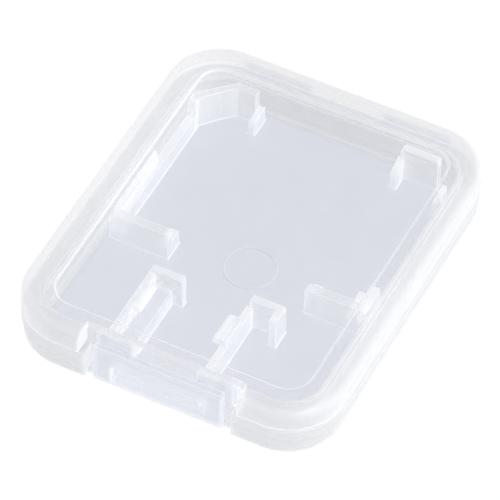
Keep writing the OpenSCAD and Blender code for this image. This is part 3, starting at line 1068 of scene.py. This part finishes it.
@dataclass
class Latch:
    """The latch: an upright tongue with a rounded heel and a slot."""

    case: Case
    half_width: float = 8.5
    thickness: float = 1.1
    top: float = 6.3
    heel: float = 1.2
    lift: float = 0.1
    half_slot: float = 6.2
    slot_low: float = 1.3
    slot_high: float = 4.15
    slot_corner: float = 0.6

    def build(self, material: bpy.types.Material) -> bpy.types.Object:
        """Model the latch and return its piece."""
        c = self.case
        back = c.front + self.thickness
        heel_z = self.lift + self.heel
        end = math.degrees(math.acos((self.heel - self.thickness) / self.heel))
        side = arc((c.front + self.heel, heel_z), self.heel, 180, 180 + end, 10)
        side += [(back, c.floor), (back, self.top)]
        side += arc((c.front + 0.3, self.top - 0.3), 0.3, 90, 180, 3)
        tongue = Mould().prism(side, -self.half_width, self.half_width, Axis.X)
        r, x = self.slot_corner, self.half_slot
        low, high = self.slot_low + r, self.slot_high - r
        slot = arc((-x + r, low), r, 180, 270, 5) + arc((x - r, low), r, 270, 360, 5)
        slot += arc((x - r, high), r, 0, 90, 5) + arc((-x + r, high), r, 90, 180, 5)
        tongue.combine(Mould().prism(slot, c.front - 1, back + 1, Axis.Y), "DIFFERENCE")
        # painted highlight on edges, and a fainter one over whole faces
        tongue.tidy(flatten=False).soften(0.12).glow(border=0.3, least=1.4, face=0.35, edge=0.8)
        return tongue.piece("latch_plate", material, Body.LATCH, Slot.LATCH, ["latch_tongue"])


@dataclass
class HingeStrap:
    """A thin bowed strap behind the back wall that joins tray and lid."""

    case: Case
    middle_x: float
    node: str
    width: float = 9.0
    thickness: float = 0.4
    bow: float = 0.8495
    axis_z: float = 3.75

    def build(self, material: bpy.types.Material) -> bpy.types.Object:
        """Model the strap and return its piece."""
        strap = Mould()
        back = self.case.length / 2
        low = self.middle_x - self.width / 2
        ends = [self.bow - self.thickness / 2, self.bow + self.thickness / 2]
        high = low + self.width
        corners = [(low, -ends[0]), (high, -ends[0]), (high, -ends[1]), (low, -ends[1])]
        verts = [strap.bm.verts.new((x, back, self.axis_z + z)) for x, z in corners]
        face = strap.bm.faces.new(verts)
        bmesh.ops.spin(
            strap.bm, geom=[face, *face.edges, *verts], cent=(0, back, self.axis_z), axis=(1, 0, 0),
            angle=math.pi, steps=21,
        )
        bmesh.ops.recalc_face_normals(strap.bm, faces=strap.bm.faces)
        sides = (low, high)
        # painted highlight on the strap's two side edges
        strap.measure(Measure.PAINTED_HIGHLIGHT, lambda co: 0.5 if any(abs(co.x - x) < 0.01 for x in sides) else 0.0)
        strap.measure(Measure.THICK, lambda co: 0.2)
        made = strap.stand("show_" + self.node, material)
        start, end = self.axis_z - self.bow, self.axis_z + self.bow
        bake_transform(made, "base", "lid", start=(0, back * MM, start * MM), end=(0, back * MM, end * MM))
        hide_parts(self.node)
        log.info("%s: strap blended from tray to lid", self.node)
        return made


@dataclass
class Retainers:
    """What the pieces that stand on the tray floor have in common."""

    case: Case

    def finish(
        self,
        made: Mould,
        name: str,
        nodes: Sequence[str],
        material: bpy.types.Material,
        lip: Sequence[Point] = (),
    ) -> bpy.types.Object:
        """Round the edges, spread the foot and set the painted highlight.

        Args:
            made: the model.
            name: the piece's name.
            nodes: the CAD nodes that it stands for.
            material: its material.
            lip: the spans in x, y and z within which a lip gets a painted highlight, if it has one.

        Returns:
            The new object.
        """
        floor = self.case.floor
        made.tidy().flare(floor).soften(0.1, above=floor + 0.1).glow(border=0.25, least=1.6, face=0.08)
        # the lip gets a full painted highlight
        layer = made.bm.verts.layers.float[Measure.PAINTED_HIGHLIGHT.value]
        for v in made.bm.verts:
            if lip and all(low < c < high for c, (low, high) in zip(v.co, lip)):
                v[layer] = 1.0
        return made.piece(name, material, Body.TRAY, Slot.RIBS, nodes)


@dataclass
class CardPocket(Retainers):
    """Fences, rests and stops that hold the full-size card."""

    fence_x: float = 17.15
    bracket_x: float = 9.2
    pocket_front: float = -3.6
    pocket_back: float = 20.6
    bracket_thickness: float = 1.25
    rail: float = 1.1
    fence: float = 0.5
    fence_top: float = 5.15
    guide_top: float = 5.85
    guide_thickness: float = 1.05
    corner_front: float = 15.8
    post_back: float = 18.4
    post_length: float = 1.8
    right_run: float = 3.3
    left_run: float = 10.5
    rest_run: float = 1.8
    rest_gap: float = 1.5
    stop_gap: float = 0.6
    stop_width: float = 5.1
    guide_run: float = 3.6
    guide_foot: float = 2.5

    def bracket(self, side: int) -> Mould:
        """Return a front bracket with its small rest; side is 1 on the right and -1 on the left."""
        f, z = self.pocket_front, self.case.floor
        x = sorted((side * self.bracket_x, side * self.fence_x))
        r = sorted((side * self.bracket_x, side * (self.bracket_x + self.rail)))
        made = Mould().plate((x[0], f - self.bracket_thickness, z), (x[1], f, self.fence_top), Axis.Y)
        end = (r[1], f + self.rest_run, self.case.card_rest)
        made.combine(Mould().plate((r[0], f - LAP, z), end, Axis.X, 0.3))
        return made

    def build(self, material: bpy.types.Material) -> None:
        """Model every piece of the pocket."""
        z, rest = self.case.floor, self.case.card_rest
        f, b, x = self.pocket_front, self.pocket_back, self.fence_x
        self.finish(self.bracket(-1), "left_card_bracket", ["sd_left_bracket"], material)
        right = self.bracket(1)
        run = f + self.right_run
        right.combine(Mould().plate((x - self.rail, f - LAP, z), (x, run, self.fence_top), Axis.X))
        second = x - self.rail - self.rest_gap
        right.combine(Mould().plate((second, f - LAP, z), (second + self.rail, run, rest), Axis.X))
        self.finish(right, "right_card_bracket", ["sd_right_bracket"], material)
        rail = Mould().box((-x, f, z), (-x + self.rail, self.corner_front, rest))
        rail.combine(Mould().box((-x, f, rest - LAP), (-x + self.fence, f + self.left_run, self.fence_top)))
        self.finish(rail, "left_card_rail", ["sd_left_rail"], material)
        self.corner(material)
        left = self.bracket_x + self.stop_gap
        corner = (left + self.stop_width, b + self.guide_thickness, self.guide_top)
        stop = Mould().plate((left, b, z), corner, Axis.Y)
        slope = [(b - 2.3, z), (b + LAP, z), (b + LAP, rest + 1.1), (b - 2.0, rest + 0.3), (b - 2.3, rest)]
        stop.combine(Mould().prism(slope, left - 0.3, left + 0.55, Axis.X))
        self.finish(stop, "back_card_stop", ["sd_back_right_stop"], material)
        pb = self.post_back
        pf = pb - self.post_length
        post = Mould().plate((x - self.fence, pf, z), (x, pb, self.fence_top), Axis.X, 0.3)
        post.combine(Mould().plate((x - self.rail, pf, z), (x - self.fence + LAP, pb, rest), Axis.X, 0.2))
        self.finish(post, "right_card_post", ["sd_right_post"], material)

    def corner(self, material: bpy.types.Material) -> None:
        """Model the guide round the cut-off corner of the card, and the rib beside it."""
        z, b, t = self.case.floor, self.pocket_back, self.guide_thickness
        face_x, cf, back = -self.fence_x + self.rail, self.corner_front, self.pocket_back - 0.2
        inner = face_x + self.guide_run
        end = inner + self.guide_foot
        plan = [
            (face_x, cf), (face_x, cf + 0.9), (face_x + 2.23, b - 1.4), (inner, back), (end, back),
            (end, back + t), (face_x + 3.2, back + t), (-self.fence_x, cf + 1.5), (-self.fence_x, cf),
        ]
        guide = Mould().prism(plan, z, self.guide_top, Axis.Z)
        self.finish(guide, "corner_card_guide", ["sd_corner_guide"], material)
        rib = Mould().plate((end, b - 2.3, z), (end + 0.85, back + t, self.case.card_rest), Axis.X, 0.3)
        self.finish(rib, "back_card_rib", ["sd_back_left_rest"], material)


@dataclass
class MicroPockets(Retainers):
    """Stems, walls and lips that hold the two micro cards."""

    left: float = -7.75
    left_thickness: float = 0.8
    centre: float = 3.85
    centre_thickness: float = 0.9
    front: float = -21.75
    left_wall: float = -10.8
    centre_wall: float = -9.6
    step: float = 2.3
    wall_width: float = 4.45
    wall_thickness: float = 0.95
    stem_top: float = 5.2
    centre_top: float = 4.15
    wall_top: float = 5.5
    lip_low: float = 4.35
    lip_front: float = -16.65
    lip_length: float = 4.2
    lip_reach: float = 1.0
    return_length: float = 1.9
    rest_x: float = 7.0
    rest_width: float = 1.4
    rest_length: float = 2.2
    return_thickness: float = 0.9

    def lip(self, x: float, side: int) -> Mould:
        """Return the lip of a stem; side says which way it stands out."""
        low, high, reach = self.lip_low, self.stem_top, self.lip_reach * side
        outline = [
            (x - LAP * side, low), (x + reach, low), (x + reach, (low + high) / 2),
            (x + reach * 0.6, high), (x - LAP * side, high),
        ]
        return Mould().prism(outline, self.lip_front, self.lip_front + self.lip_length, Axis.Y)

    def span(self, x: float, side: int, margin: float = 0.05) -> list[Point]:
        """Return the spans in x, y and z within which the lip of a stem gets a painted highlight."""
        across = sorted((x + 0.02 * side, x + (self.lip_reach + 2 * margin) * side))
        along = (self.lip_front - margin, self.lip_front + self.lip_length + margin)
        return [across, along, (self.lip_low - margin, self.stem_top + margin)]

    def build(self, material: bpy.types.Material) -> None:
        """Model every piece of the two pockets."""
        z, rest, t = self.case.floor, self.case.card_rest, self.wall_thickness
        x0 = self.left - self.left_thickness
        end = self.left + self.step
        stem = [(x0, z), (end, z), (end, rest), (self.left, rest)]
        stem += [(self.left, self.stem_top), (x0, self.stem_top)]
        made = Mould().prism(stem, self.front, self.left_wall + LAP, Axis.Y)
        corner = (x0 + self.wall_width, self.left_wall + t, self.wall_top)
        made.combine(Mould().plate((x0, self.left_wall, z), corner, Axis.Y))
        made.combine(self.lip(self.left, 1))
        self.finish(made, "left_micro_holder", ["micro_left_holder"], material, self.span(self.left, 1))
        x0, x1 = self.centre, self.centre + self.centre_thickness
        lip_end = self.lip_front + self.lip_length
        stem = [(self.front, z), (self.centre_wall + LAP, z), (self.centre_wall + LAP, self.centre_top)]
        stem += [(lip_end, self.centre_top), (lip_end, self.stem_top), (self.lip_front, self.stem_top)]
        stem += [(self.lip_front, self.centre_top)]
        stem += arc((self.front + 0.4, self.centre_top - 0.4), 0.4, 90, 180, 5)
        made = Mould().prism(stem, x0, x1, Axis.X)
        w0, w1 = x0 + 0.4, x0 + 0.4 + self.wall_width
        corner = (w1, self.centre_wall + t, self.wall_top)
        made.combine(Mould().plate((w0, self.centre_wall, z), corner, Axis.Y))
        low = (w1 - self.return_thickness, self.centre_wall - self.return_length, z)
        made.combine(Mould().plate(low, (w1, self.centre_wall + 0.5, self.wall_top), Axis.X))
        made.combine(self.lip(x0, -1))
        self.finish(made, "centre_micro_holder", ["micro_centre_holder"], material, self.span(x0, -1))
        corner = (self.rest_x + self.rest_width, self.front + self.rest_length, rest)
        made = Mould().plate((self.rest_x, self.front, z), corner, Axis.X, 0.3)
        self.finish(made, "front_micro_rest", ["micro_front_rest"], material)


def main() -> None:
    """Build the studio and every piece, and report each."""
    logging.basicConfig(level=logging.INFO, format="%(name)s: %(message)s")
    bpy.context.scene.view_settings.view_transform = "Standard"
    cycles = bpy.context.scene.cycles
    cycles.transparent_max_bounces = 64
    cycles.max_bounces, cycles.diffuse_bounces = 20, 12
    Studio().build()
    case = Case()
    # darker, bluer tints: partly the plastic's own tint, partly painted shade for the case's shadow seen
    # through the floor
    tray = ClearPlastic(
        "tray_plastic_and_painted_shade",
        clear_tint=(0.7, 0.75, 0.85),
        white=(0.865, 0.87, 0.88),
        haze=0.08,
        tint=(0.92, 0.925, 0.945),
        wall_tint=(0.892, 0.895, 0.902),
    )
    Tray(case).build(tray.make())
    pale = (0.99, 0.99, 0.99)
    ribs = ClearPlastic("rib_plastic", clear_tint=pale, white=pale, tint=(1.0, 1.0, 1.0), haze=0.2).make()
    CardPocket(case).build(ribs)
    MicroPockets(case).build(ribs)
    lid = ClearPlastic("lid_plastic", haze=0.04).make()
    Lid(case).build(lid)
    Catch(case).build(lid)
    latch = ClearPlastic(
        "latch_plastic", haze=0.12, tint=(0.925, 0.935, 0.955), wall_tint=(0.915, 0.92, 0.935)
    )
    Latch(case).build(latch.make())
    strap = ClearPlastic("strap_plastic").make()
    for middle, node in ((-9.5, "hinge_strap_left"), (9.5, "hinge_strap_right")):
        HingeStrap(case, middle, node).build(strap)


if __name__ == "__main__":
    main()
